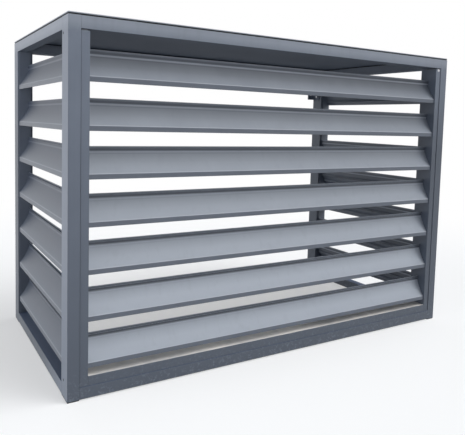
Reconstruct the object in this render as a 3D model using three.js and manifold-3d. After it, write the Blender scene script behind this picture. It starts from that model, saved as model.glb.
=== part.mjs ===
// Louvred aluminium screen that stands over an outdoor unit: a box frame of tubes with
// seven blades on the front and on both sides, a flat top and an open back and underside.
// Millimetres. X runs along the front, the front faces -Y, Z is up and Z = 0 is the floor.

import * as THREE from 'three';
import { mergeVertices } from 'three/addons/utils/BufferGeometryUtils.js';
import Module from 'manifold-3d';

const wasm = await Module();
wasm.setup();

// Overall size
const screenWidth = 1080;
const screenDepth = 565;
const screenHeight = 770;

// Fits and cutting
const seatGap = 0.3; // clearance between two pieces that seat on each other
const cutOverrun = 1; // how far a cutter runs past the faces that it cuts
const pinSides = 18;

// Frame tubes
const tubeWall = 2;
const tubeEdgeRadius = 1;
const frontPostWidth = 25;
const rearPostWidth = 38;
const postDepth = 46;
const railHeight = 25;
const crossRailDepth = 46;
const sideRailWidth = 25;

// Top sheet, its sealing strip and the foot pads
const topSheetThickness = 2;
const topSheetCornerRadius = 2;
const sealThickness = 2.2;
const sealWidth = 20;
const sealInset = 0.6;
const footThickness = 2;
const footInset = 0.4;
const footPinRadius = 3;
const footPinLength = 9;

// Corner connectors inside the tubes
const connectorClearance = 0.3;
const connectorLegLength = 38;
const connectorLegChamfer = 3;
const connectorPinDepth = 11;

// Blades: an extruded section with an upright nose, a slightly hollow face and an upright lip
// with a small hook in front of it, which leans out and forms a groove
const bladeCount = 7;
const bladeHeight = 65.4;
const bladeDepth = 24.6; // from the nose to the lip
const bladeWall = 1.6;
const noseHeight = 10.3;
const noseEdgeRadius = 0.9;
const lipHeight = 12;
const lipEdgeRadius = 0.5;
const hookHeight = 8.2;
const hookLean = 3.2; // how far the top of the hook stands out from its foot
const hookWall = 1.2;
const hookEdgeRadius = 0.4;
const faceHollow = 2.2;
const faceSteps = 9;
const topAirGap = 34.2;
const sideBottomAirGap = 35.5;
const noseSetback = 3;

// Screw ports that run along the back of each blade
const portBoreRadius = 1.8;
const portWall = 1.3;
const portBite = 0.5;
const portOpeningShare = 0.2;
const portSteps = 9;
const portPlaceShares = [0.14, 0.62];

// Framed louvre insert in the front opening
const insertGap = 0.6;
const insertSetback = 1.6; // how far the insert stands back from the front of the posts
const insertDepth = 54;
const insertWall = 2;
const stileWidth = 17;
const stileRearFlange = 9; // narrower than the front one, to clear the side blades
const stileTopGap = 3;
const insertBarHeight = 20;
const clipThickness = 2;
const clipWidth = 12;
const clipHeight = 26;
const clipReach = 34;
const cleatThickness = 2;
const cleatHeight = 16;
const cleatReach = 28;
const cleatDepth = 36;

// Strips that carry the ends of the side blades
const carrierThickness = 3;
const carrierWidth = 29;

// Brackets that fix the rear posts to a wall
const bracketThickness = 3;
const bracketHeight = 46;
const bracketPostLeg = 34;
const bracketWallLeg = 26;
const bracketEdgeRadius = 1.4;
const bracketTopGap = 34;
const bracketSlotLength = 16;
const bracketSlotWidth = 7;
const bracketSlotSteps = 6;

// Levels and places worked out from the sizes above
const postBottom = footThickness + seatGap;
const topSheetBottom = screenHeight - topSheetThickness;
const sealBottom = topSheetBottom - seatGap - sealThickness;
const postTop = sealBottom - seatGap;
const postLength = postTop - postBottom;
const topRailBottom = postTop - railHeight;
const bottomRailTop = postBottom + railHeight;
const frontPlane = -screenDepth / 2;
const rearPlane = screenDepth / 2;
const leftPlane = -screenWidth / 2;
const rightPlane = screenWidth / 2;
const lowestBlade = bottomRailTop + sideBottomAirGap;
const highestBlade = topRailBottom - topAirGap - bladeHeight;
const bladePitch = (highestBlade - lowestBlade) / (bladeCount - 1);
const frontRailLength = screenWidth - 2 * (frontPostWidth + seatGap);
const rearRailLength = screenWidth - 2 * (rearPostWidth + seatGap);
const sideRailLength = screenDepth - 2 * (postDepth + seatGap);
const stileOuterEdge = leftPlane + frontPostWidth + insertGap;
const stileInnerEdge = stileOuterEdge + stileWidth;
const stileBottom = bottomRailTop + seatGap;
const stileLength = topRailBottom - stileTopGap - stileBottom;
const insertBarLength = 2 * (-stileInnerEdge - seatGap);
const frontBladeLength = insertBarLength;
const carrierLength = topRailBottom - bottomRailTop - 2 * seatGap;
const sideBladeLength = sideRailLength - 2 * (carrierThickness + seatGap);

// Finishes
const powderCoat = new THREE.MeshStandardMaterial({ color: '#727a88', roughness: 0.48, metalness: 0.1 });
const bladeCoat = new THREE.MeshStandardMaterial({ color: '#7d8593', roughness: 0.45, metalness: 0.1 });
const blackRubber = new THREE.MeshStandardMaterial({ color: '#1d1f22', roughness: 0.85, metalness: 0 });
const blackNylon = new THREE.MeshStandardMaterial({ color: '#26282c', roughness: 0.6, metalness: 0 });
const bareZinc = new THREE.MeshStandardMaterial({ color: '#b9bdc2', roughness: 0.35, metalness: 0.9 });

const screen = new THREE.Group();
const axisX = new THREE.Vector3(1, 0, 0);
const axisY = new THREE.Vector3(0, 1, 0);
const axisZ = new THREE.Vector3(0, 0, 1);

// Turns a section into a bar that lies across the front: section x goes to +Y and y to +Z.
const layAcross = new THREE.Quaternion().setFromRotationMatrix(
  new THREE.Matrix4().makeBasis(axisY, axisZ, axisX),
);
// Turns a section into a bar that runs front to back: x goes to +X and y to +Z.
const layDeep = new THREE.Quaternion().setFromRotationMatrix(
  new THREE.Matrix4().makeBasis(axisX, axisZ, axisY.clone().negate()),
);
// The same seen from the other side: x goes to -X and y to +Z.
const layDeepMirrored = new THREE.Quaternion().setFromRotationMatrix(
  new THREE.Matrix4().makeBasis(axisX.clone().negate(), axisZ, axisY),
);

// A closed outline from corners [x, y, radius]; a corner with a radius is eased off in a curve.
function outline(corners) {
  const points = [];
  corners.forEach(([x, y, radius = 0], index) => {
    const corner = new THREE.Vector2(x, y);
    if (radius === 0) {
      points.push(corner);
      return;
    }
    const before = corners[(index + corners.length - 1) % corners.length];
    const after = corners[(index + 1) % corners.length];
    const entry = new THREE.Vector2(before[0], before[1]).sub(corner).setLength(radius).add(corner);
    const exit = new THREE.Vector2(after[0], after[1]).sub(corner).setLength(radius).add(corner);
    const middle = new THREE.QuadraticBezierCurve(entry, corner, exit).getPoint(1 / 2);
    points.push(entry, middle, exit);
  });
  return points;
}

function rectangle(x0, y0, x1, y1, radius = 0) {
  return outline([[x0, y0, radius], [x1, y0, radius], [x1, y1, radius], [x0, y1, radius]]);
}

// A prism on z = 0 .. length from an outline, with any holes given as outlines too.
function prism(points, length, holes = []) {
  const shape = new THREE.Shape(points);
  holes.forEach((hole) => shape.holes.push(new THREE.Path(hole)));
  return new THREE.ExtrudeGeometry(shape, { depth: length, bevelEnabled: false });
}

function block(x0, y0, z0, x1, y1, z1) {
  return prism(rectangle(x0, y0, x1, y1), z1 - z0).translate(0, 0, z0);
}

function toSolid(geometry) {
  const bare = geometry.clone();
  bare.deleteAttribute('normal');
  bare.deleteAttribute('uv');
  const merged = mergeVertices(bare);
  return new wasm.Manifold(new wasm.Mesh({
    numProp: 3,
    vertProperties: new Float32Array(merged.attributes.position.array),
    triVerts: new Uint32Array(merged.index.array),
  }));
}

function toGeometry(solid) {
  const mesh = solid.getMesh();
  const geometry = new THREE.BufferGeometry();
  geometry.setAttribute('position', new THREE.BufferAttribute(mesh.vertProperties, 3));
  geometry.setIndex(new THREE.BufferAttribute(mesh.triVerts, 1));
  geometry.computeVertexNormals();
  return geometry;
}

function joined(...geometries) {
  return toGeometry(geometries.map(toSolid).reduce((whole, next) => whole.add(next)));
}

function cut(geometry, ...cutters) {
  return toGeometry(cutters.map(toSolid).reduce((rest, next) => rest.subtract(next), toSolid(geometry)));
}

// A mirror image along the axes whose sign is -1, with the faces still pointing out.
function flipped(geometry, signX, signY, signZ) {
  const image = geometry.clone().scale(signX, signY, signZ);
  if (signX * signY * signZ > 0) {
    return image;
  }
  const indexed = image.index ? image : mergeVertices(image);
  const index = indexed.index.array;
  for (let corner = 0; corner < index.length; corner += 3) {
    [index[corner + 1], index[corner + 2]] = [index[corner + 2], index[corner + 1]];
  }
  indexed.computeVertexNormals();
  return indexed;
}

function place(name, geometry, material, x, y, z, turn = null, parent = screen) {
  const mesh = new THREE.Mesh(geometry, material);
  mesh.name = name;
  mesh.position.set(x, y, z);
  if (turn) {
    mesh.quaternion.copy(turn);
  }
  parent.add(mesh);
}

// A rectangular tube, its length centred on z = 0.
function tube(width, height, length) {
  const bore = rectangle(tubeWall, tubeWall, width - tubeWall, height - tubeWall);
  return prism(rectangle(0, 0, width, height, tubeEdgeRadius), length, [bore])
    .translate(0, 0, -length / 2);
}

// A post from its outer corner at the origin, reaching to +X, +Y and +Z. Each end is notched
// where the legs of a connector pass into the rails.
function post(width, notchesAt) {
  const bore = rectangle(tubeWall, tubeWall, width - tubeWall, postDepth - tubeWall);
  const whole = prism(rectangle(0, 0, width, postDepth, tubeEdgeRadius), postLength, [bore]);
  const notchHeight = railHeight - tubeWall;
  const cutters = notchesAt.map(([end, towards]) => {
    const low = end === 'top' ? postLength - notchHeight : -cutOverrun;
    const high = end === 'top' ? postLength + cutOverrun : notchHeight;
    if (towards === 'cross') {
      const x0 = width - tubeWall - cutOverrun;
      return block(x0, tubeWall, low, width + cutOverrun, crossRailDepth - tubeWall, high);
    }
    const y0 = postDepth - tubeWall - cutOverrun;
    return block(tubeWall, y0, low, sideRailWidth - tubeWall, postDepth + cutOverrun, high);
  });
  return cut(whole, ...cutters);
}

// A leg of a connector along +X with a chamfered tip, as wide as the bore that it enters.
function connectorLeg(start, end, side0, side1, bottom, top) {
  const points = [
    [start, side0],
    [end - connectorLegChamfer, side0],
    [end, side0 + connectorLegChamfer],
    [end, side1 - connectorLegChamfer],
    [end - connectorLegChamfer, side1],
    [start, side1],
  ];
  return prism(outline(points), top - bottom).translate(0, 0, bottom);
}

// The block that joins a post to its rails. The post's end is at z = 0 and the leg in the post
// runs to +Z, as at the foot; the outer corner of the post is at the origin.
function connector(postWidth, hasCrossLeg) {
  const inset = tubeWall + connectorClearance;
  const railLow = inset;
  const railHigh = railHeight - inset;
  const hub = block(inset, inset, railLow, postWidth - inset, postDepth - inset, railHeight + connectorLegLength);
  const sideEnd = postDepth + seatGap + connectorLegLength;
  const sideLeg = connectorLeg(inset, sideEnd, inset, sideRailWidth - inset, railLow, railHigh);
  const sideLegDeep = flipped(sideLeg.rotateZ(Math.PI / 2), -1, 1, 1);
  const pieces = [hub, sideLegDeep];
  if (hasCrossLeg) {
    const crossEnd = postWidth + seatGap + connectorLegLength;
    pieces.push(connectorLeg(inset, crossEnd, inset, crossRailDepth - inset, railLow, railHigh));
  }
  const pinHole = new THREE.CylinderGeometry(
    footPinRadius + connectorClearance,
    footPinRadius + connectorClearance,
    connectorPinDepth + cutOverrun,
    pinSides,
  );
  pinHole.rotateX(Math.PI / 2);
  pinHole.translate(postWidth / 2, postDepth / 2, railLow + (connectorPinDepth - cutOverrun) / 2);
  return cut(joined(...pieces), pinHole);
}

// A pad under a post with a pin that enters the connector above it.
function foot(postWidth) {
  const pad = prism(
    rectangle(footInset, footInset, postWidth - footInset, postDepth - footInset, tubeEdgeRadius),
    footThickness,
  );
  const pin = new THREE.CylinderGeometry(footPinRadius, footPinRadius, footPinLength, pinSides);
  pin.rotateX(Math.PI / 2);
  pin.translate(postWidth / 2, postDepth / 2, footThickness + footPinLength / 2 - seatGap);
  return joined(pad, pin);
}

function addFrame() {
  const corners = [
    ['front_left', 1, 1, frontPostWidth, true],
    ['front_right', -1, 1, frontPostWidth, true],
    ['rear_left', 1, -1, rearPostWidth, false],
    ['rear_right', -1, -1, rearPostWidth, false],
  ];
  corners.forEach(([corner, signX, signY, width, hasBottomCross]) => {
    const x = signX * leftPlane;
    const y = signY * frontPlane;
    const notches = [['top', 'cross'], ['top', 'side'], ['bottom', 'side']];
    if (hasBottomCross) {
      notches.push(['bottom', 'cross']);
    }
    place(`${corner}_post`, flipped(post(width, notches), signX, signY, 1), powderCoat, x, y, postBottom);
    place(`${corner}_foot`, flipped(foot(width), signX, signY, 1), blackRubber, x, y, 0);
    const lower = flipped(connector(width, hasBottomCross), signX, signY, 1);
    place(`${corner}_bottom_connector`, lower, blackNylon, x, y, postBottom);
    const upper = flipped(connector(width, true), signX, signY, -1);
    place(`${corner}_top_connector`, upper, blackNylon, x, y, postTop);
  });

  const frontRail = tube(crossRailDepth, railHeight, frontRailLength);
  const rearRail = tube(crossRailDepth, railHeight, rearRailLength);
  const sideRail = tube(sideRailWidth, railHeight, sideRailLength);
  place('top_front_rail', frontRail, powderCoat, 0, frontPlane, topRailBottom, layAcross);
  place('bottom_front_rail', frontRail, powderCoat, 0, frontPlane, postBottom, layAcross);
  place('top_rear_rail', rearRail, powderCoat, 0, rearPlane - crossRailDepth, topRailBottom, layAcross);
  [['left', leftPlane], ['right', rightPlane - sideRailWidth]].forEach(([side, x]) => {
    place(`top_${side}_rail`, sideRail, powderCoat, x, 0, topRailBottom, layDeep);
    place(`bottom_${side}_rail`, sideRail, powderCoat, x, 0, postBottom, layDeep);
  });
}

function addTop() {
  const sheet = prism(
    rectangle(leftPlane, frontPlane, rightPlane, rearPlane, topSheetCornerRadius),
    topSheetThickness,
  );
  place('top_panel', sheet, powderCoat, 0, 0, topSheetBottom);
  const outer = rectangle(
    leftPlane + sealInset,
    frontPlane + sealInset,
    rightPlane - sealInset,
    rearPlane - sealInset,
    topSheetCornerRadius,
  );
  const edge = sealInset + sealWidth;
  const inner = rectangle(leftPlane + edge, frontPlane + edge, rightPlane - edge, rearPlane - edge);
  place('top_seal', prism(outer, sealThickness, [inner]), blackRubber, 0, 0, sealBottom);
}

// The hollow face of a blade, as an arc from the top of the nose to the foot of the lip.
function bladeFace() {
  const rise = bladeHeight - noseHeight - lipHeight;
  const chord = Math.hypot(bladeDepth, rise);
  const radius = chord * chord / (8 * faceHollow) + faceHollow / 2;
  const chordAngle = Math.atan2(rise, bladeDepth);
  const halfSweep = Math.asin(chord / (2 * radius));
  const startAngle = chordAngle - Math.PI / 2 - halfSweep;
  const centre = new THREE.Vector2(
    -radius * Math.cos(startAngle),
    noseHeight - radius * Math.sin(startAngle),
  );
  const along = (share, offset) => {
    const angle = startAngle + 2 * halfSweep * share;
    return [
      centre.x + (radius + offset) * Math.cos(angle),
      centre.y + (radius + offset) * Math.sin(angle),
    ];
  };
  const angleAt = (share) => startAngle + 2 * halfSweep * share;
  return { along, angleAt };
}

function bladeSection(face) {
  const foot = bladeHeight - lipHeight;
  const bendHalf = -face.angleAt(1) / 2;
  const bendReach = bladeWall / Math.cos(bendHalf);
  const hookTop = foot + hookHeight;
  const hookFront = bladeDepth - hookLean;
  const hookThickness = hookWall * Math.hypot(hookLean, hookHeight) / hookHeight;
  const grooveBottom = foot + hookHeight * hookThickness / hookLean;
  const corners = [
    [bladeWall, 0, lipEdgeRadius],
    [bladeWall, face.along(0, bladeWall)[1]],
  ];
  const shares = Array.from({ length: faceSteps + 1 }, (_, step) => step / faceSteps);
  shares.filter((share) => share < 1 && face.along(share, bladeWall)[0] > bladeWall)
    .forEach((share) => corners.push(face.along(share, bladeWall)));
  corners.push(
    [bladeDepth + bendReach * Math.cos(bendHalf), foot - bendReach * Math.sin(bendHalf)],
    [bladeDepth + bladeWall, bladeHeight, lipEdgeRadius],
    [bladeDepth, bladeHeight, lipEdgeRadius],
    [bladeDepth, grooveBottom],
    [hookFront + hookThickness, hookTop, hookEdgeRadius],
    [hookFront, hookTop, hookEdgeRadius],
  );
  shares.reverse().filter((share) => share > 0).forEach((share) => corners.push(face.along(share, 0)));
  corners.push([0, noseHeight, noseEdgeRadius], [0, 0, lipEdgeRadius]);
  return outline(corners);
}

// A C-shaped port for a screw, open to the rear, that bites into the back of the face.
function portSection(face, share) {
  const outer = portBoreRadius + portWall;
  const direction = face.angleAt(share);
  const [x, y] = face.along(share, bladeWall + outer - portBite);
  const halfOpening = Math.PI * portOpeningShare;
  const sweep = 2 * (Math.PI - halfOpening);
  const ring = (radius) => Array.from({ length: portSteps + 1 }, (_, step) => {
    const angle = direction + halfOpening + sweep * step / portSteps;
    return new THREE.Vector2(x + radius * Math.cos(angle), y + radius * Math.sin(angle));
  });
  return [...ring(outer), ...ring(portBoreRadius).reverse()];
}

function blade(length) {
  const face = bladeFace();
  const ports = portPlaceShares.map((share) => prism(portSection(face, share), length));
  return joined(prism(bladeSection(face), length), ...ports).translate(0, 0, -length / 2);
}

// The blades of one side, from the lowest up. In a bank, x is the depth behind the outer face,
// y is the height and z runs along the blades.
function addBank(side, length, setback, bank) {
  const section = blade(length);
  for (let index = 0; index < bladeCount; index += 1) {
    const height = lowestBlade + bladePitch * index;
    place(`${side}_blade_${index + 1}`, section, bladeCoat, setback, height, 0, null, bank);
  }
  screen.add(bank);
}

function addBlades() {
  const front = new THREE.Group();
  front.position.set(0, frontPlane, 0);
  front.quaternion.copy(layAcross);
  addBank('front', frontBladeLength, insertSetback + noseSetback, front);

  const left = new THREE.Group();
  left.position.set(leftPlane, 0, 0);
  left.quaternion.copy(layDeep);
  addBank('left', sideBladeLength, noseSetback, left);

  const right = new THREE.Group();
  right.position.set(rightPlane, 0, 0);
  right.quaternion.copy(layDeepMirrored);
  addBank('right', sideBladeLength, noseSetback, right);
}

// A channel section with its web at x = 0 .. wall and its front and rear flange reaching to +X.
function channel(frontFlange, rearFlange, depth, length) {
  const points = [
    [0, 0, tubeEdgeRadius],
    [frontFlange, 0],
    [frontFlange, insertWall],
    [insertWall, insertWall],
    [insertWall, depth - insertWall],
    [rearFlange, depth - insertWall],
    [rearFlange, depth],
    [0, depth, tubeEdgeRadius],
  ];
  return prism(outline(points), length);
}

// An angle of two equal walls on the x and y axes.
function angleBar(reachX, reachY, thickness, length, radius = 0) {
  const points = [
    [0, 0, radius],
    [reachX, 0],
    [reachX, thickness],
    [thickness, thickness],
    [thickness, reachY],
    [0, reachY],
  ];
  return prism(outline(points), length);
}

// The insert: two stiles and a bottom bar of channel that frame the front blades.
function addInsert() {
  const insertPlane = frontPlane + insertSetback;
  const stile = flipped(channel(stileWidth, stileRearFlange, insertDepth, stileLength), -1, 1, 1);
  const bar = channel(insertBarHeight, insertBarHeight, insertDepth, insertBarLength)
    .rotateZ(-Math.PI / 2)
    .translate(0, insertBarHeight, -insertBarLength / 2);
  place('insert_bottom_bar', bar, powderCoat, 0, insertPlane, stileBottom, layAcross);

  // Clip: one leg under the top rail, the other down behind the front flange of the stile.
  const clip = angleBar(clipReach, clipHeight, clipThickness, clipWidth)
    .translate(0, 0, -clipWidth / 2)
    .rotateX(Math.PI);
  const clipDepth = insertPlane + insertWall + seatGap;
  const clipX = stileOuterEdge + (stileWidth - insertWall) / 2;

  // Cleat: one leg under the web of the bar, the other down the web of the stile.
  const cleat = angleBar(cleatReach, cleatHeight, cleatThickness, cleatDepth)
    .translate(0, 0, -cleatDepth / 2)
    .rotateX(-Math.PI / 2);
  const cleatTop = stileBottom + insertBarHeight - insertWall - seatGap;

  [['left', 1], ['right', -1]].forEach(([side, sign]) => {
    place(`insert_${side}_stile`, flipped(stile, sign, 1, 1), powderCoat,
      sign * stileInnerEdge, insertPlane, stileBottom);
    place(`insert_${side}_clip`, clip, bareZinc, sign * clipX, clipDepth, topRailBottom - seatGap, layAcross);
    place(`insert_${side}_cleat`, flipped(cleat, sign, 1, 1), bareZinc,
      sign * (stileInnerEdge + seatGap), insertPlane + insertDepth / 2, cleatTop);
  });
}

function addCarriers() {
  const strip = block(0, 0, 0, carrierWidth, carrierThickness, carrierLength);
  const x = leftPlane + noseSetback;
  const y = sideRailLength / 2 - carrierThickness;
  [['left', 1], ['right', -1]].forEach(([side, signX]) => {
    [['front', -1], ['rear', 1]].forEach(([end, signY]) => {
      place(`${side}_${end}_carrier`, flipped(strip, signX, signY, 1), powderCoat,
        signX * x, signY * y, bottomRailTop + seatGap);
    });
  });
}

// Each bracket has one leg on the inner side of a rear post and one slotted leg on the wall.
function addWallBrackets() {
  const angle = angleBar(bracketWallLeg, bracketPostLeg, bracketThickness, bracketHeight, bracketEdgeRadius);
  const halfStraight = (bracketSlotLength - bracketSlotWidth) / 2;
  const slotMiddle = bracketThickness + (bracketWallLeg - bracketThickness) / 2;
  const slotPoints = [1, -1].flatMap((end) => Array.from({ length: bracketSlotSteps + 1 }, (_, step) => {
    const angleRound = (end > 0 ? 0 : Math.PI) + Math.PI * step / bracketSlotSteps;
    return new THREE.Vector2(
      bracketSlotWidth / 2 * Math.cos(angleRound),
      end * halfStraight + bracketSlotWidth / 2 * Math.sin(angleRound),
    );
  }));
  const slot = prism(slotPoints, bracketThickness + 2 * cutOverrun)
    .rotateX(Math.PI / 2)
    .translate(slotMiddle, bracketThickness + cutOverrun, bracketHeight / 2);
  const bracket = flipped(cut(angle, slot), 1, -1, 1);
  const x = leftPlane + rearPostWidth + seatGap;
  const z = topRailBottom - bracketTopGap - bracketHeight;
  place('left_wall_bracket', bracket, powderCoat, x, rearPlane, z);
  place('right_wall_bracket', flipped(bracket, -1, 1, 1), powderCoat, -x, rearPlane, z);
}

addFrame();
addTop();
addBlades();
addInsert();
addCarriers();
addWallBrackets();

export default screen;
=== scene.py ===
import math

import bmesh
import bpy
from mathutils import Matrix, Vector


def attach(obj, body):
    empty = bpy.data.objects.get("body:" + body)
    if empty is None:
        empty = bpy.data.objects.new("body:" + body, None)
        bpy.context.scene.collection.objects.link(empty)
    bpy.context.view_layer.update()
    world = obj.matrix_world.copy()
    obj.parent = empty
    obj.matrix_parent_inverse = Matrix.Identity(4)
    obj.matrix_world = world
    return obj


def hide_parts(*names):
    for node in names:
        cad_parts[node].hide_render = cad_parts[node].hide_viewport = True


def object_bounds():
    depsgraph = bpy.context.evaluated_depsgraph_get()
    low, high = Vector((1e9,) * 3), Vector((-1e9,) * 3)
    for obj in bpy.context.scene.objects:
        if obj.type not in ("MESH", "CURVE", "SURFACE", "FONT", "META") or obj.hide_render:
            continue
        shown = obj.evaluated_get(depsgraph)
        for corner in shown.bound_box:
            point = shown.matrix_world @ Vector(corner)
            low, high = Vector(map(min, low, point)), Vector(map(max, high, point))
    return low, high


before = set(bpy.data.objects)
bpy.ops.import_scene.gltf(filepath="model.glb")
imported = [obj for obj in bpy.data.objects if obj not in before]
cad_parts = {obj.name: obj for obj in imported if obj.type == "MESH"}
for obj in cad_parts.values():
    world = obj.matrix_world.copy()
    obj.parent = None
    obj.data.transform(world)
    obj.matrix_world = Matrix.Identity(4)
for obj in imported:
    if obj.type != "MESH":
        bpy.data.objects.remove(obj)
cadLow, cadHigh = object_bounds()
mm = 0.001
nodeNames = sorted(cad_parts)
print("frame loaded:", len(nodeNames), "nodes")


# Small helpers

def linear(hexColour):
    # sRGB hex to linear RGBA
    values = [int(hexColour[i:i + 2], 16) / 255 for i in (1, 3, 5)]
    toLinear = [v / 12.92 if v <= 0.04045 else ((v + 0.055) / 1.055) ** 2.4 for v in values]
    return (*toLinear, 1.0)


def addNode(tree, kind, settings=None, links=None):
    # one shader node, with its settings and what feeds its sockets: another socket or a hex colour
    node = tree.nodes.new(kind)
    for name, value in (settings or {}).items():
        if isinstance(name, str) and name[0].islower():
            setattr(node, name, value)
        else:
            node.inputs[name].default_value = value
    for name, source in (links or {}).items():
        if isinstance(source, str):
            node.inputs[name].default_value = linear(source)
        else:
            tree.links.new(source, node.inputs[name])
    return node


def newMaterial(name):
    material = bpy.data.materials.new(name)
    material.use_nodes = True
    tree = material.node_tree
    tree.nodes.clear()
    return material, tree


# Camera at the viewpoint of the photograph

# lengths in metres, turns in radians, the sensor in mm
cameraPlace = {
    "location": (-0.8209, -1.3840, 0.5700),
    "yaw": 0.5581,  # turned from straight ahead to the right
    "pitch": -0.0805,  # a little down
    "roll": 0.0289,
    "focalPixels": 564.5,
    "centrePixels": (246.9, 167.9),
    "imagePixels": (465, 435),
    "sensorWidth": 36.0,
    "nearestSeen": 0.01,
}


def addCamera(place):
    yaw, pitch, roll = place["yaw"], place["pitch"], place["roll"]
    ahead = Vector((math.sin(yaw) * math.cos(pitch), math.cos(yaw) * math.cos(pitch), math.sin(pitch)))
    level = Vector((math.cos(yaw), -math.sin(yaw), 0))
    above = level.cross(ahead)
    right = level * math.cos(roll) + above * math.sin(roll)
    up = above * math.cos(roll) - level * math.sin(roll)
    width, height = place["imagePixels"]
    data = bpy.data.cameras.new("photoView")
    data.sensor_fit = "HORIZONTAL"
    data.sensor_width = place["sensorWidth"]
    data.lens = place["focalPixels"] / width * place["sensorWidth"]
    data.shift_x = (width / 2 - place["centrePixels"][0]) / width
    data.shift_y = (place["centrePixels"][1] - height / 2) / width
    data.clip_start = place["nearestSeen"]
    camera = bpy.data.objects.new("photoView", data)
    turn = Matrix((right, up, -ahead)).transposed().to_4x4()
    camera.matrix_world = Matrix.Translation(place["location"]) @ turn
    bpy.context.scene.collection.objects.link(camera)
    bpy.context.scene.camera = camera


addCamera(cameraPlace)
print("camera placed")


# Finishes

def framePaintedShade(tree, spot, turned, settings):
    # where the painted shade goes: on the outer left and right sides 0 at the front, growing to the rear;
    # elsewhere 1, more on faces turned sideways and towards the right end
    rearward = addNode(tree, "ShaderNodeMapRange", {
        "From Min": settings["rearFrom"] * mm, "From Max": cadHigh[1], "To Max": settings["lowAtRear"]},
        {"Value": spot["Y"]})
    rightward = addNode(tree, "ShaderNodeMapRange", {
        "From Min": settings["rightFrom"] * mm, "From Max": cadHigh[0], "To Min": 1.0,
        "To Max": settings["lowAtRight"]}, {"Value": spot["X"]})
    across = addNode(tree, "ShaderNodeMath", {"operation": "ABSOLUTE"}, {0: spot["X"]})
    inside = addNode(tree, "ShaderNodeMath", {
        "operation": "LESS_THAN", 1: cadHigh[0] - settings["sideDepth"] * mm}, {0: across.outputs["Value"]})
    sideways = addNode(tree, "ShaderNodeMath", {"operation": "ABSOLUTE"}, {0: turned["X"]})
    gain = addNode(tree, "ShaderNodeMath", {"operation": "MULTIPLY_ADD", 1: settings["lowInside"]}, {
        0: sideways.outputs["Value"], 2: rightward.outputs["Result"]})
    where = addNode(tree, "ShaderNodeMix", {"data_type": "FLOAT"}, {
        0: inside.outputs["Value"], 2: rearward.outputs["Result"], 3: gain.outputs["Value"]})
    return where.outputs[0]


def profileShare(tree, spot, settings):
    # height within one blade: 0 at the foot of the nose, 1 at the top of the lip
    rise = addNode(tree, "ShaderNodeMath", {"operation": "SUBTRACT", 1: settings["firstFoot"] * mm}, {0: spot["Z"]})
    local = addNode(tree, "ShaderNodeMath", {"operation": "MODULO", 1: settings["pitch"] * mm}, {
        0: rise.outputs["Value"]})
    share = addNode(tree, "ShaderNodeMath", {"operation": "DIVIDE", 1: settings["bladeHeight"] * mm}, {
        0: local.outputs["Value"]})
    return share.outputs["Value"]


def bladePaintedLight(tree, spot, turned, settings):
    # where the painted light goes: grows up the sloping face of a front blade; 0 on its upright nose and lip, less
    # on the side blades
    slope = addNode(tree, "ShaderNodeMapRange", {
        "From Min": settings["faceSlope"][0], "From Max": settings["faceSlope"][1]}, {"Value": turned["Z"]})
    climb = addNode(tree, "ShaderNodeMapRange", {
        "From Min": settings["faceShare"][0], "From Max": settings["faceShare"][1],
        "To Min": settings["lowAtNose"], "To Max": 1.0}, {"Value": profileShare(tree, spot, settings)})
    both = addNode(tree, "ShaderNodeMath", {"operation": "MULTIPLY"}, {
        0: slope.outputs["Result"], 1: climb.outputs["Result"]})
    across = addNode(tree, "ShaderNodeMath", {"operation": "ABSOLUTE"}, {0: spot["X"]})
    front = addNode(tree, "ShaderNodeMapRange", {
        "From Min": settings["frontEnd"] * mm, "From Max": settings["sideStart"] * mm,
        "To Min": 1.0, "To Max": settings["lowOnSides"]}, {"Value": across.outputs["Value"]})
    where = addNode(tree, "ShaderNodeMath", {"operation": "MULTIPLY"}, {
        0: both.outputs["Value"], 1: front.outputs["Result"]})
    return where.outputs["Value"]


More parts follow.
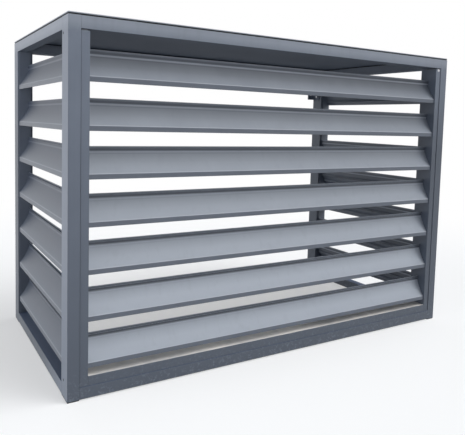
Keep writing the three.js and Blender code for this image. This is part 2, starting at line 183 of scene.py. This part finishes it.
def powderCoat(name, settings):
    # Polyester powder coat, sprayed and baked on aluminium. It gives an even blue grey with a soft sheen, a faint
    # orange peel, and edges where the coat lies thinner, painted lighter as wear and as a painted highlight; its
    # layers also hold painted light and shade.
    material, tree = newMaterial(name)
    place = addNode(tree, "ShaderNodeTexCoord").outputs["Object"]
    spot = addNode(tree, "ShaderNodeSeparateXYZ", links={"Vector": place}).outputs
    geometry = addNode(tree, "ShaderNodeNewGeometry").outputs
    turned = addNode(tree, "ShaderNodeSeparateXYZ", links={"Vector": geometry["True Normal"]}).outputs
    upward = addNode(tree, "ShaderNodeSeparateXYZ", links={"Vector": geometry["Normal"]}).outputs["Z"]
    layers = []  # mask and tone of each layer over the dark tone, from the lowest to the uppermost

    # cloudy patches in the coat
    cloud = addNode(tree, "ShaderNodeTexNoise", {
        "Scale": 1 / (settings["cloudSize"] * mm), "Detail": 3.0, "Roughness": 0.6}, {"Vector": place})
    patches = addNode(tree, "ShaderNodeMapRange", {
        "From Min": settings["cloudSpread"][0], "From Max": settings["cloudSpread"][1]},
        {"Value": cloud.outputs["Fac"]})
    layers.append((patches.outputs["Result"], settings["lightTone"]))

    # painted light and shade that grow towards the ground: painted shade on the frame, painted light on the blades'
    # faces
    low = addNode(tree, "ShaderNodeMapRange", {
        "From Min": settings["lowFrom"] * mm, "From Max": settings["lowTo"] * mm}, {"Value": spot["Z"]})
    lowMask = addNode(tree, "ShaderNodeMath", {"operation": "MULTIPLY"}, {
        0: low.outputs["Result"], 1: settings["lowWhere"](tree, spot, turned, settings)})
    layers.append((lowMask.outputs["Value"], settings["lowTone"]))

    # pale film that runs down from the top sheet over the top rails
    film = addNode(tree, "ShaderNodeMapRange", {
        "From Min": settings["filmFrom"] * mm, "From Max": settings["filmTo"] * mm,
        "To Max": settings["filmAmount"]}, {"Value": spot["Z"]})
    layers.append((film.outputs["Result"], settings["filmTone"]))

    # painted shade and painted highlights that follow the blade's section
    if settings["bands"]:
        share = profileShare(tree, spot, settings)
        # distance from the middle times how far the face turns outwards: high on the side blades' outer faces
        outward = addNode(tree, "ShaderNodeMath", {"operation": "MULTIPLY"}, {0: spot["X"], 1: turned["X"]})
    for tone, above, stops in settings["bands"]:
        band = addNode(tree, "ShaderNodeValToRGB", links={"Fac": share})
        ramp = band.color_ramp.elements
        for number, (position, amount) in enumerate(stops):
            stop = ramp[number] if number < len(ramp) else ramp.new(position)
            stop.position = position
            stop.color = (amount, amount, amount, 1)
        beyond = addNode(tree, "ShaderNodeMath", {"operation": "GREATER_THAN", 1: above}, {
            0: outward.outputs["Value"]})
        bandMask = addNode(tree, "ShaderNodeMath", {"operation": "MULTIPLY"}, {
            0: band.outputs["Color"], 1: beyond.outputs["Value"]})
        layers.append((bandMask.outputs["Value"], tone))

    # rain marks: noise drawn out along the height
    stretch = addNode(tree, "ShaderNodeMapping", {"Scale": (1, 1, settings["streakStretch"])}, {"Vector": place})
    streak = addNode(tree, "ShaderNodeTexNoise", {
        "Scale": 1 / (settings["streakWidth"] * mm), "Detail": 2.0}, {"Vector": stretch.outputs["Vector"]})
    streakMask = addNode(tree, "ShaderNodeMapRange", {
        "From Min": settings["streakSpread"][0], "From Max": settings["streakSpread"][1],
        "To Max": settings["streakAmount"]}, {"Value": streak.outputs["Fac"]})
    layers.append((streakMask.outputs["Result"], settings["streakTone"]))

    # scuffs in the coat near the corners, where the screen is gripped and set down
    fromMiddle = addNode(tree, "ShaderNodeMath", {"operation": "SUBTRACT", 1: settings["middleHeight"] * mm}, {
        0: spot["Z"]})
    fromMiddle = addNode(tree, "ShaderNodeMath", {"operation": "ABSOLUTE"}, {0: fromMiddle.outputs["Value"]})
    nearEnd = addNode(tree, "ShaderNodeMapRange", {
        "From Min": (settings["middleHeight"] - settings["scuffReach"]) * mm,
        "From Max": settings["middleHeight"] * mm, "To Max": settings["scuffAmount"]},
        {"Value": fromMiddle.outputs["Value"]})
    scuff = addNode(tree, "ShaderNodeTexNoise", {
        "Scale": 1 / (settings["scuffSize"] * mm), "Detail": 5.0, "Roughness": 0.7}, {"Vector": place})
    scuffMask = addNode(tree, "ShaderNodeMapRange", {
        "From Min": settings["scuffSpread"][0], "From Max": settings["scuffSpread"][1]}, {
        "Value": scuff.outputs["Fac"], "To Max": nearEnd.outputs["Result"]})
    layers.append((scuffMask.outputs["Result"], settings["scuffTone"]))

    # dust that settles on faces that look up
    dusty = addNode(tree, "ShaderNodeMapRange", {
        "From Min": settings["dustSlope"], "From Max": 1.0, "To Max": settings["dustAmount"]}, {"Value": upward})
    dustMask = addNode(tree, "ShaderNodeMath", {"operation": "MULTIPLY"}, {
        0: dusty.outputs["Result"], 1: cloud.outputs["Fac"]})
    layers.append((dustMask.outputs["Value"], settings["dustTone"]))

    # thin coat on the rounded edges, painted lighter: part wear, part painted highlight
    wornAndHighlit = addNode(tree, "ShaderNodeAttribute", {"attribute_name": "edgeWearAndHighlight"}).outputs["Fac"]
    wornAndHighlitMask = addNode(tree, "ShaderNodeMath", {"operation": "MULTIPLY", 1: settings["edgeAmount"]}, {0: wornAndHighlit})
    layers.append((wornAndHighlitMask.outputs["Value"], settings["edgeWearAndHighlightTone"]))

    # painted shade on faces that look down, which also get a thin, dull coat because the spray comes from above
    under = addNode(tree, "ShaderNodeMapRange", {
        "From Min": settings["underSlope"][0], "From Max": settings["underSlope"][1],
        "To Max": settings["underAmount"]}, {"Value": upward})
    layers.append((under.outputs["Result"], settings["underTone"]))

    # darker tops of the lower rails
    level = addNode(tree, "ShaderNodeMapRange", {
        "From Min": settings["ledgeSlope"][0], "From Max": settings["ledgeSlope"][1],
        "To Max": settings["ledgeAmount"]}, {"Value": upward})
    nearGround = addNode(tree, "ShaderNodeMath", {"operation": "LESS_THAN", 1: settings["ledgeBelow"] * mm}, {
        0: spot["Z"]})
    ledge = addNode(tree, "ShaderNodeMath", {"operation": "MULTIPLY"}, {
        0: level.outputs["Result"], 1: nearGround.outputs["Value"]})
    layers.append((ledge.outputs["Value"], settings["ledgeTone"]))

    colour = settings["darkTone"]
    for mask, tone in layers:
        colour = addNode(tree, "ShaderNodeMix", {"data_type": "RGBA"}, {0: mask, 6: colour, 7: tone}).outputs[2]

    # sheen that varies with the patches and goes where the coat is thin or dirty
    gloss = addNode(tree, "ShaderNodeMapRange", {
        "To Min": settings["roughness"] - settings["roughnessSpread"],
        "To Max": settings["roughness"] + settings["roughnessSpread"]}, {"Value": cloud.outputs["Fac"]})
    gloss = addNode(tree, "ShaderNodeMath", {"operation": "MULTIPLY_ADD", 1: settings["dulling"]}, {
        0: under.outputs["Result"], 2: gloss.outputs["Result"]})
    gloss = addNode(tree, "ShaderNodeMath", {"operation": "MULTIPLY_ADD", 1: settings["dulling"]}, {
        0: ledge.outputs["Value"], 2: gloss.outputs["Value"]})

    # orange peel, real at 1 to 2 mm and drawn coarser so that it shows
    peel = addNode(tree, "ShaderNodeTexNoise", {
        "Scale": 1 / (settings["peelSize"] * mm), "Detail": 2.0}, {"Vector": place})
    bump = addNode(tree, "ShaderNodeBump", {
        "Strength": settings["peelStrength"], "Distance": settings["peelDepth"] * mm},
        {"Height": peel.outputs["Fac"]})
    shader = addNode(tree, "ShaderNodeBsdfPrincipled", {"Metallic": 0.0, "IOR": settings["ior"]}, {
        "Base Color": colour, "Roughness": gloss.outputs["Value"], "Normal": bump.outputs["Normal"]})
    addNode(tree, "ShaderNodeOutputMaterial", links={"Surface": shader.outputs["BSDF"]})
    return material


# Lengths are in mm. An amount is the share of a layer's tone that shows at most, and is over 1 where a
# noise thins it. A spread or slope holds the values between which a layer sets in.
coatLook = {
    "cloudSize": 90,  # size of the cloudy patches
    "cloudSpread": (0.35, 0.65),
    "filmTone": "#d0d6e0",
    "filmFrom": 735,
    "filmTo": 755,
    "filmAmount": 0.36,
    "streakTone": "#6b727d",
    "streakWidth": 14,
    "streakStretch": 0.08,
    "streakSpread": (0.55, 0.8),
    "middleHeight": 385,
    "scuffSize": 7,
    "scuffSpread": (0.52, 0.66),
    "dustTone": "#b5b5b3",
    "dustAmount": 0.25,
    "dustSlope": 0.3,  # from here to level
    "edgeWearAndHighlightTone": "#b4bac4",
    "edgeAmount": 0.15,
    "underTone": "#56606f",
    "underSlope": (-0.5, -0.9),
    "ledgeTone": "#43516a",
    "ledgeSlope": (0.9, 0.98),
    "ledgeBelow": 60,
    "roughness": 0.42,
    "roughnessSpread": 0.05,
    "dulling": 0.42,  # added roughness under and on the ledges
    "peelSize": 4.0,
    "peelDepth": 0.12,
    "peelStrength": 0.2,
    "ior": 1.5,
}
frameLook = {
    "darkTone": "#8891a1",
    "lightTone": "#8f98a8",
    "lowTone": "#616976",  # painted shade
    "lowFrom": 770,
    "lowTo": 0,
    "lowWhere": framePaintedShade,
    "lowInside": 4.0,  # how much more painted shade faces turned sideways take
    "lowAtRear": 3.0,  # how much the rear edge of an outer side takes
    "rearFrom": -235,
    "lowAtRight": 3.0,  # how much the right end takes
    "rightFrom": 300,
    "sideDepth": 0.5,  # how far inside the outer side a face still counts as outer
    "bands": [],
    "streakAmount": 0.12,
    "scuffTone": "#a6aeba",
    "scuffReach": 70,
    "scuffAmount": 0.35,
    "underAmount": 1.0,
    "ledgeAmount": 0.9,
}
allFaces, sideFaces = -1, 0.3
# Each band: tone, the least outward turn that it needs, and its share of the height with its amount there
bladeLook = {
    # the frame's coat, in tones painted darker than the frame's as painted shade on the blades
    "darkTone": "#737a86",
    "lightTone": "#79808c",
    "lowTone": "#d8e0ec",  # painted light on the faces of the lower blades
    "lowFrom": 700,
    "lowTo": 200,
    "lowWhere": bladePaintedLight,
    "lowAtNose": 0.28,
    "lowOnSides": 0.25,
    "faceSlope": (0.1, 0.35),
    "faceShare": (0.16, 0.82),
    "frontEnd": 498,
    "sideStart": 506,
    "firstFoot": 62.8,
    "pitch": 96.3,
    "bladeHeight": 65.4,
    "bands": [
        # painted shade in the groove
        ("#3d424b", allFaces, [(0.0, 0.0), (0.855, 0.0), (0.875, 0.5), (0.92, 0.45), (0.95, 0.0)]),
        # painted shade under the lip
        ("#3d424b", allFaces, [(0.0, 0.0), (0.45, 0.0), (0.78, 0.22), (0.81, 0.0)]),
        # painted light above the nose
        ("#c9d3e2", allFaces, [(0.0, 0.0), (0.16, 0.0), (0.18, 0.15), (0.5, 0.0)]),
        # painted highlight on the top of the lip
        ("#a9b0bc", allFaces, [(0.0, 0.0), (0.95, 0.0), (0.975, 0.6), (1.0, 0.6)]),
        # painted highlight on the foot of the hook
        ("#d2d8e2", allFaces, [(0.0, 0.0), (0.79, 0.0), (0.81, 0.5), (0.845, 0.5), (0.86, 0.0)]),
        # painted highlight on the crease between nose and face
        ("#c6ccd6", allFaces, [(0.0, 0.0), (0.15, 0.0), (0.165, 0.7), (0.185, 0.0), (1.0, 0.0)]),
        # painted shade on the side blades' faces
        ("#28374f", sideFaces, [(0.0, 0.0), (0.15, 0.0), (0.2, 0.34), (0.8, 0.66), (1.0, 0.66)]),
    ],
    "streakAmount": 0.1,
    "scuffTone": "#b0b5bd",
    "scuffReach": 10,
    "scuffAmount": 0.0,
    "underAmount": 0.0,
    "ledgeAmount": 0.0,
}


def mouldedBlack(name, settings):
    # Moulded EPDM rubber or glass-filled nylon: near black, matt to dull, with a grey bloom over the grain
    # of the mould, which is real at 0.1 to 0.3 mm and drawn coarser so that it shows
    material, tree = newMaterial(name)
    place = addNode(tree, "ShaderNodeTexCoord").outputs["Object"]
    bloom = addNode(tree, "ShaderNodeTexNoise", {
        "Scale": 1 / (settings["bloomSize"] * mm), "Detail": 4.0}, {"Vector": place})
    colour = addNode(tree, "ShaderNodeMix", {"data_type": "RGBA"}, {
        0: bloom.outputs["Fac"], 6: settings["darkTone"], 7: settings["lightTone"]})
    bump = addNode(tree, "ShaderNodeBump", {
        "Strength": settings["grainStrength"], "Distance": settings["grainDepth"] * mm},
        {"Height": bloom.outputs["Fac"]})
    shader = addNode(tree, "ShaderNodeBsdfPrincipled", {
        "Roughness": settings["roughness"], "IOR": settings["ior"]},
        {"Base Color": colour.outputs[2], "Normal": bump.outputs["Normal"]})
    addNode(tree, "ShaderNodeOutputMaterial", links={"Surface": shader.outputs["BSDF"]})
    return material


def fastenerSteel(name, settings):
    # Zinc-plated, stainless or blackened steel, pressed or cold headed: a metal's reflection, broken by a
    # crystalline mottle that is drawn coarser than the real one so that it shows
    material, tree = newMaterial(name)
    place = addNode(tree, "ShaderNodeTexCoord").outputs["Object"]
    grain = addNode(tree, "ShaderNodeTexVoronoi", {"Scale": 1 / (settings["grainSize"] * mm)}, {"Vector": place})
    colour = addNode(tree, "ShaderNodeMix", {"data_type": "RGBA"}, {
        0: grain.outputs["Distance"], 6: settings["darkTone"], 7: settings["lightTone"]})
    gloss = addNode(tree, "ShaderNodeMapRange", {
        "To Min": settings["roughness"], "To Max": settings["roughness"] + settings["roughnessSpread"]},
        {"Value": grain.outputs["Distance"]})
    shader = addNode(tree, "ShaderNodeBsdfPrincipled", {"Metallic": 1.0}, {
        "Base Color": colour.outputs[2], "Roughness": gloss.outputs["Result"]})
    addNode(tree, "ShaderNodeOutputMaterial", links={"Surface": shader.outputs["BSDF"]})
    return material


frameCoat = powderCoat("powder_coat_frame", {**coatLook, **frameLook})
# the bar under the blades keeps the dust that settles on it, because the rain doesn't reach it
# laid on this thick, the pale dust is also painted light on the shaded top of the bar
shelteredLook = {"dustTone": "#d8d3cc", "dustAmount": 1.7, "ledgeAmount": 0.0}
barCoat = powderCoat("powder_coat_sheltered", {**coatLook, **frameLook, **shelteredLook})
bladeCoat = powderCoat("powder_coat_blades", {**coatLook, **bladeLook})
mouldedLook = {"grainStrength": 0.3}
epdmRubber = mouldedBlack("epdm_rubber_moulded", {
    **mouldedLook, "darkTone": "#17181a", "lightTone": "#2b2d30", "bloomSize": 3, "grainDepth": 0.05,
    "roughness": 0.75, "ior": 1.5})
mouldedNylon = mouldedBlack("glass_filled_nylon_moulded", {
    **mouldedLook, "darkTone": "#1d1e21", "lightTone": "#303237", "bloomSize": 6, "grainDepth": 0.03,
    "roughness": 0.5, "ior": 1.53})
steelLook = {"roughnessSpread": 0.15}
# the plate has gone dull, as it does outdoors
zincPlate = fastenerSteel("zinc_plated_steel_pressed", {
    **steelLook, "darkTone": "#6b6f75", "lightTone": "#8b8f95", "grainSize": 4, "roughness": 0.5})
stainless = fastenerSteel("stainless_steel_cold_headed", {
    **steelLook, "darkTone": "#d4d6d8", "lightTone": "#f0f1f2", "grainSize": 3, "roughness": 0.38})
blackSteel = fastenerSteel("black_oxide_steel_cold_headed", {
    **steelLook, "darkTone": "#2a2c30", "lightTone": "#45484e", "grainSize": 2, "roughness": 0.4})
print("finishes made")


# Pieces of the frame, insert and blades: the CAD solids with their real rounded edges

# lengths in mm, angles in degrees
edgeLook = {
    "tube": 0.5,  # radius of an outer tube corner
    "joint": 0.12,  # radius where two tubes meet
    "jointFill": 0.28,  # how far the coat bridges the joint at the end of a rail
    "sheet": 0.35,
    "moulding": 0.6,
    "segments": 2,
    "roundness": 0.5,  # a quarter circle
    "sharpAngle": 50,  # from this angle on an edge is rounded
    "flatAngle": 1.0,  # up to this angle two faces become one
    "weld": 0.002,
    "endReach": 0.05,  # how near to a rail's end a vertex belongs to it
    "cornerReach": 0.1,  # how near to the outer corner an edge belongs to it
}


# Countersunk screws, in mm
sunkScrews = {
    "radius": 3.0,
    "clearance": 0.25,
    "sink": 0.9,
    "below": 0.05,  # how far the head lies under the face
    "footShare": 0.9,  # radii as shares of the head's
    "socketShare": 0.45,
    "socketFootShare": 0.4,
    "chamfer": 0.15,
    "socketDepth": 0.6,
    "sides": 28,
}
# the node that takes each one, the middle of its head and the way it faces
sunkPlaces = [
    ("front_left_post", (-540, -245.5, 733), (-1, 0, 0)),
    ("front_left_post", (-540, -253.5, 38), (-1, 0, 0)),
    ("front_right_post", (540, -245.5, 733), (1, 0, 0)),
    ("front_right_post", (540, -253.5, 38), (1, 0, 0)),
]
sheetScrewRows = {"across": (-520, -180, 180, 520), "deep": (-262, 262), "height": 770}
sunkPlaces += [
    ("top_panel", (x, y, sheetScrewRows["height"]), (0, 0, 1))
    for x in sheetScrewRows["across"] for y in sheetScrewRows["deep"]]


def roundBar(radius, bottom, top, place, facing, sides):
    # closed cylinder along facing, from bottom to top in mm above place
    shape = bmesh.new()
    bmesh.ops.create_cone(
        shape, cap_ends=True, segments=sides, radius1=radius * mm, radius2=radius * mm, depth=(top - bottom) * mm)
    turn = Vector((0, 0, 1)).rotation_difference(Vector(facing)).to_matrix().to_4x4()
    middle = Vector(place) * mm + Vector(facing) * (bottom + top) / 2 * mm
    bmesh.ops.transform(shape, matrix=Matrix.Translation(middle) @ turn, verts=shape.verts)
    mesh = bpy.data.meshes.new("cutter")
    shape.to_mesh(mesh)
    shape.free()
    return mesh


def countersunk(node):
    # the node's mesh with a shallow seat cut for each of its screws
    places = [(place, facing) for owner, place, facing in sunkPlaces if owner == node]
    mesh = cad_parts[node].data
    if not places:
        return mesh
    body = bpy.data.objects.new("body", mesh.copy())
    bpy.context.scene.collection.objects.link(body)
    cutters = []
    for place, facing in places:
        cutterMesh = roundBar(
            sunkScrews["radius"] + sunkScrews["clearance"], -sunkScrews["sink"], sunkScrews["sink"],
            place, facing, sunkScrews["sides"])
        cutter = bpy.data.objects.new("cutter", cutterMesh)
        bpy.context.scene.collection.objects.link(cutter)
        cut = body.modifiers.new("cut", "BOOLEAN")
        cut.operation = "DIFFERENCE"
        cut.solver = "EXACT"
        cut.object = cutter
        cutters.append(cutter)
    ready = body.evaluated_get(bpy.context.evaluated_depsgraph_get())
    seated = bpy.data.meshes.new_from_object(ready)
    for thing in (body, *cutters):
        bpy.data.objects.remove(thing)
    return seated


def onCorner(edge):
    # true for the upright edges on the outside corners of the screen
    return all(
        min(abs(abs(vert.co[axis]) - cadHigh[axis]) for vert in edge.verts) < edgeLook["cornerReach"] * mm
        for axis in (0, 1))


def finishedPiece(node, material, slot, radius):
    # the node's solid with rounded edges; a coated tube gets small radii where it meets the next one
    mesh = bpy.data.meshes.new(node + "_finish")
    work = bmesh.new()
    work.from_mesh(countersunk(node))
    ends = []
    if "rail" in node:
        axis = 1 if "left" in node or "right" in node else 0
        reach = max(vert.co[axis] for vert in work.verts)
        ends = [vert for vert in work.verts if abs(vert.co[axis]) > reach - edgeLook["endReach"] * mm]
        for vert in ends:
            vert.co[axis] += math.copysign(edgeLook["jointFill"] * mm, vert.co[axis])
    bmesh.ops.remove_doubles(work, verts=work.verts, dist=edgeLook["weld"] * mm)
    bmesh.ops.dissolve_limit(
        work, angle_limit=math.radians(edgeLook["flatAngle"]), verts=work.verts, edges=work.edges)
    wearAndHighlight = work.faces.layers.float.new("edgeWearAndHighlight")
    limit = math.radians(edgeLook["sharpAngle"])
    sharp = [edge for edge in work.edges if edge.is_manifold and edge.calc_face_angle_signed() > limit]
    groups = [(sharp, radius)]
    if material == frameCoat:
        outer = [edge for edge in sharp if onCorner(edge)]
        butted = {edge for edge in sharp if all(vert in ends for vert in edge.verts)}
        inner = [edge for edge in sharp if edge not in outer and edge not in butted]
        groups = [(outer, radius), (inner, edgeLook["joint"])]
    for edges, size in groups:
        rounded = bmesh.ops.bevel(
            work, geom=[edge for edge in edges if edge.is_valid], offset=size * mm, offset_type="OFFSET",
            segments=edgeLook["segments"], profile=edgeLook["roundness"], affect="EDGES", clamp_overlap=True)
        for face in rounded["faces"]:
            face[wearAndHighlight] = 1.0
    for face in work.faces:
        face.smooth = True
    for edge in work.edges:
        edge.smooth = not (edge.is_manifold and edge.calc_face_angle() > limit)
    work.to_mesh(mesh)
    work.free()
    mesh.materials.append(material)
    piece = bpy.data.objects.new(node + "_finish", mesh)
    bpy.context.scene.collection.objects.link(piece)
    even = piece.modifiers.new("evenNormals", "WEIGHTED_NORMAL")
    even.keep_sharp = True
    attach(piece, "root")
    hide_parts(node)


def finishFor(node):
    # material, slot and edge radius of a node
    if node == "insert_bottom_bar":
        return barCoat, "frame_coat", edgeLook["joint"]
    if "blade" in node:
        return bladeCoat, "blade_coat", edgeLook["sheet"]
    if "connector" in node:
        return mouldedNylon, "black_nylon", edgeLook["moulding"]
    if "foot" in node or "seal" in node:
        return epdmRubber, "black_rubber", edgeLook["sheet"]
    if "clip" in node or "cleat" in node:
        return zincPlate, "zinc_plate", edgeLook["sheet"]
    return frameCoat, "frame_coat", edgeLook["tube"]


for node in nodeNames:
    finishedPiece(node, *finishFor(node))
print("pieces finished")


# Screw heads, in mm

panScrews = {
    "radius": 3.6,
    "height": 1.5,
    "root": 0.2,  # how far the head reaches into the piece under it
    "rimShare": 0.97,  # height of the socket's rim
    "socketShare": 0.42,
    "socketTaper": 0.9,
    "socketDepth": 0.8,
    "sides": 28,
    "rings": 5,
}
panPlaces = [
    ("insert_clip", (506.9, -280.9, 734), (0, -1, 0), stainless),
    ("left_bracket_low", (-498.7, 262, 671), (1, 0, 0), stainless),
    ("left_bracket_high", (-498.7, 262, 695), (1, 0, 0), stainless),
    ("right_bracket_low", (498.7, 262, 671), (-1, 0, 0), stainless),
    ("right_bracket_high", (498.7, 262, 695), (-1, 0, 0), stainless),
]


def turnedHead(name, profile, place, facing, material, sides):
    # a head revolved from (radius, height) pairs in mm that start and end on the axis
    shape = bmesh.new()
    turn = Vector((0, 0, 1)).rotation_difference(Vector(facing)).to_matrix()

    def put(radius, height, angle):
        spot = Vector((radius * math.cos(angle), radius * math.sin(angle), height)) * mm
        return shape.verts.new(turn @ spot + Vector(place) * mm)

    rings = []
    for radius, height in profile:
        if radius == 0:
            rings.append([put(0, height, 0)])
        else:
            rings.append([put(radius, height, 2 * math.pi * step / sides) for step in range(sides)])
    for lower, upper in zip(rings, rings[1:]):
        for step in range(sides):
            after = (step + 1) % sides
            corners = [lower[step % len(lower)], lower[after % len(lower)],
                       upper[after % len(upper)], upper[step % len(upper)]]
            shape.faces.new(list(dict.fromkeys(corners)))
    bmesh.ops.recalc_face_normals(shape, faces=shape.faces)
    for face in shape.faces:
        face.smooth = True
    for edge in shape.edges:
        edge.smooth = edge.calc_face_angle() < math.radians(edgeLook["sharpAngle"])
    mesh = bpy.data.meshes.new(name)
    shape.to_mesh(mesh)
    shape.free()
    mesh.materials.append(material)
    head = bpy.data.objects.new(name, mesh)
    bpy.context.scene.collection.objects.link(head)
    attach(head, "root")


def panProfile(look):
    # low dome with a round drive socket
    radius, height = look["radius"], look["height"]
    turns = [math.pi / 2 * step / look["rings"] for step in range(look["rings"])]
    dome = [(radius * math.cos(turn), height * math.sin(turn)) for turn in turns]
    socket, rim = radius * look["socketShare"], height * look["rimShare"]
    floor = rim - look["socketDepth"]
    return [(0, -look["root"]), (radius, -look["root"]), *dome,
            (socket, rim), (socket * look["socketTaper"], floor), (0, floor)]


def sunkProfile(look):
    # flat head with a chamfered rim and a round drive socket
    radius, top, chamfer = look["radius"], -look["below"], look["chamfer"]
    floor = top - look["socketDepth"]
    return [(0, -look["sink"]), (radius * look["footShare"], -look["sink"]), (radius, top - chamfer),
            (radius - chamfer, top), (radius * look["socketShare"], top),
            (radius * look["socketFootShare"], floor), (0, floor)]


for name, place, facing, material in panPlaces:
    turnedHead("screw_" + name, panProfile(panScrews), place, facing, material, panScrews["sides"])
for number, (owner, place, facing) in enumerate(sunkPlaces):
    turnedHead(f"screw_{owner}_{number}", sunkProfile(sunkScrews), place, facing, blackSteel, sunkScrews["sides"])
print("screws set:", len(panPlaces) + len(sunkPlaces))


# Floor, background and light

# lengths in metres
stageLook = {
    "floorSize": 9.0,
    "floorSeen": "#f6f6f6",
    "floorBounce": "#6c6c6c",  # what the floor throws back on the screen's undersides
    "lift": 0.45,  # share of plain white in the floor, so that the shadow stays light
    "clearRadius": 1.0,  # the shadow keeps its depth up to here
    "fadeRadius": 2.6,  # and from here on the floor is plain white
}


def seenAsBackground(tree):
    # 1 for the rays that show the background: from the camera, mirrored or sent through
    rays = addNode(tree, "ShaderNodeLightPath")
    mirrored = addNode(tree, "ShaderNodeMath", {"operation": "MAXIMUM"}, {
        0: rays.outputs["Is Camera Ray"], 1: rays.outputs["Is Glossy Ray"]})
    seen = addNode(tree, "ShaderNodeMath", {"operation": "MAXIMUM"}, {
        0: mirrored.outputs["Value"], 1: rays.outputs["Is Transmission Ray"]})
    return seen.outputs["Value"]


def addFloor(look):
    material, tree = newMaterial("pale_floor")
    seen = seenAsBackground(tree)
    colour = addNode(tree, "ShaderNodeMix", {"data_type": "RGBA"}, {
        0: seen, 6: look["floorBounce"], 7: look["floorSeen"]})
    matt = addNode(tree, "ShaderNodeBsdfDiffuse", links={"Color": colour.outputs[2]})
    place = addNode(tree, "ShaderNodeTexCoord").outputs["Object"]
    away = addNode(tree, "ShaderNodeVectorMath", {"operation": "LENGTH"}, {0: place})
    fade = addNode(tree, "ShaderNodeMapRange", {
        "interpolation_type": "SMOOTHSTEP", "From Min": look["clearRadius"], "From Max": look["fadeRadius"],
        "To Min": look["lift"]}, {"Value": away.outputs["Value"]})
    fadeSeen = addNode(tree, "ShaderNodeMath", {"operation": "MULTIPLY"}, {
        0: fade.outputs["Result"], 1: seen})
    white = addNode(tree, "ShaderNodeEmission", {"Strength": 1.0}, {"Color": "#ffffff"})
    blend = addNode(tree, "ShaderNodeMixShader", links={
        0: fadeSeen.outputs["Value"], 1: matt.outputs["BSDF"], 2: white.outputs["Emission"]})
    addNode(tree, "ShaderNodeOutputMaterial", links={"Surface": blend.outputs["Shader"]})
    half = look["floorSize"] / 2
    corners = [(-half, -half, 0), (half, -half, 0), (half, half, 0), (-half, half, 0)]
    mesh = bpy.data.meshes.new("floor")
    mesh.from_pydata(corners, [], [(0, 1, 2, 3)])
    mesh.materials.append(material)
    floor = bpy.data.objects.new("floor", mesh)
    bpy.context.scene.collection.objects.link(floor)


# Each part of the sky: turn from the front towards the left and height, in degrees, strength, tint
skyParts = {
    "highRight": (300, 60, 5.2, "#fbfdff"),
    "right": (315, 34, 1.9, "#fbfdff"),
    "rearLow": (180, 8, 2.2, "#eaf1ff"),
    "left": (90, 34, 0.9, "#edf4ff"),
    "leftLow": (90, 8, 1.2, "#edf4ff"),
    "frontLow": (30, 8, 0.25, "#e6efff"),
}
skySpread = 12.0  # a larger number makes each part narrower


def addWorld(parts, spread):
    # soft sky parts light the object; seen, mirrored or through something, the world is plain white
    world = bpy.data.worlds.new("paleStudio")
    bpy.context.scene.world = world
    world.use_nodes = True
    tree = world.node_tree
    tree.nodes.clear()
    direction = addNode(tree, "ShaderNodeTexCoord").outputs["Generated"]
    total = None
    for turn, rise, strength, tint in parts.values():
        across, up = math.radians(turn), math.radians(rise)
        towards = (-math.sin(across) * math.cos(up), -math.cos(across) * math.cos(up), math.sin(up))
        near = addNode(tree, "ShaderNodeVectorMath", {"operation": "DOT_PRODUCT", 1: towards}, {0: direction})
        away = addNode(tree, "ShaderNodeMath", {"operation": "MULTIPLY_ADD", 1: spread, 2: -spread}, {
            0: near.outputs["Value"]})
        glow = addNode(tree, "ShaderNodeMath", {"operation": "EXPONENT"}, {0: away.outputs["Value"]})
        colour = [strength * share for share in linear(tint)[:3]]
        add = addNode(tree, "ShaderNodeVectorMath", {"operation": "MULTIPLY_ADD", 1: colour}, {
            0: glow.outputs["Value"]})
        if total:  # added to the parts before it
            tree.links.new(total, add.inputs[2])
        total = add.outputs["Vector"]
    sky = addNode(tree, "ShaderNodeBackground", {"Strength": 1.0}, {"Color": total})
    white = addNode(tree, "ShaderNodeBackground", {"Strength": 1.0}, {"Color": "#ffffff"})
    blend = addNode(tree, "ShaderNodeMixShader", links={
        0: seenAsBackground(tree), 1: sky.outputs["Background"], 2: white.outputs["Background"]})
    addNode(tree, "ShaderNodeOutputWorld", links={"Surface": blend.outputs["Shader"]})


# Lamps: place and aim in metres, power in watts
softLights = {
    "leftNear": {"place": (-1.9, -0.35, 0.5), "aim": (-0.54, -0.1, 0.4), "size": 0.8, "power": 4.5},
}


def addLight(name, look):
    data = bpy.data.lights.new(name, "AREA")
    data.shape = "SQUARE"
    data.size = look["size"]
    data.energy = look["power"]
    light = bpy.data.objects.new(name, data)
    light.location = look["place"]
    aim = Vector(look["aim"]) - Vector(look["place"])
    light.rotation_euler = aim.to_track_quat("-Z", "Y").to_euler()
    bpy.context.scene.collection.objects.link(light)


addFloor(stageLook)
addWorld(skyParts, skySpread)
for lightName, lightLook in softLights.items():
    addLight(lightName, lightLook)
bpy.context.scene.view_settings.view_transform = "Standard"
print("stage lit")
